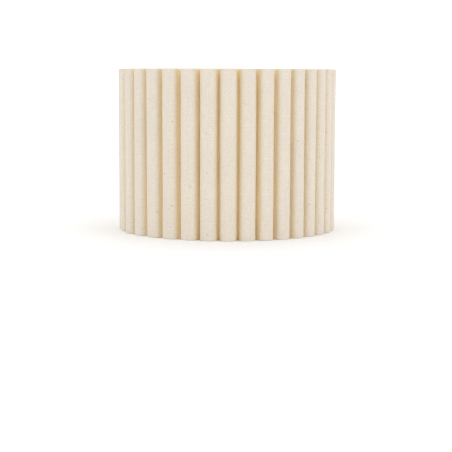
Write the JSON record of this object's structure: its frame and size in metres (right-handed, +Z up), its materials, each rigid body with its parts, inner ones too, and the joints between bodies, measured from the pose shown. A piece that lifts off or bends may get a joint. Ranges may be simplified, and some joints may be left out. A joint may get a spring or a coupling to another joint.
{
  "type": "lamp shade",
  "caption": "Straight drum lamp shade in flecked oatmeal cloth with rounded upright pleats, a white inner liner, wire hoops and a raised spider with a ring for a screw lampholder.",
  "frame": {"origin": "on the drum's axis, in the plane of the bottom rim", "axes": "+Z up along the drum's axis, -Y towards the front, which the picture shows"},
  "size_m": [0.2494, 0.25, 0.184],
  "materials": {
    "cloth": "matte flecked weave",
    "stiffener": "matte",
    "liner": "satin",
    "bonding_tape": "matte",
    "edge_tape": "matte plain weave",
    "coated_wire": "satin powder coat",
    "coated_steel": "satin powder coat",
    "reducer_plastic": "satin"
  },
  "bodies": {
    "shade": {"cover_fabric_front": "cloth", "cover_fabric_back": "cloth", "cover_stiffener_front": "stiffener", "cover_stiffener_back": "stiffener", "liner_drum": "liner", "liner_seam_strip": "liner", "bonding_tape_top": "bonding_tape", "bonding_tape_bottom": "bonding_tape", "top_ring": "coated_wire", "bottom_ring": "coated_wire", "edge_tape_top": "edge_tape", "edge_tape_bottom": "edge_tape", "spoke_1": "coated_wire", "spoke_2": "coated_wire", "spoke_3": "coated_wire", "fitter_ring": "coated_steel"},
    "reducer": {"reducer_ring": "reducer_plastic"}
  },
  "joints": [
    {"name": "reducer_lift", "type": "slide", "parent": "shade", "child": "reducer", "axis": [0, 0, 1], "range_m": [0, 0.03]}
  ]
}
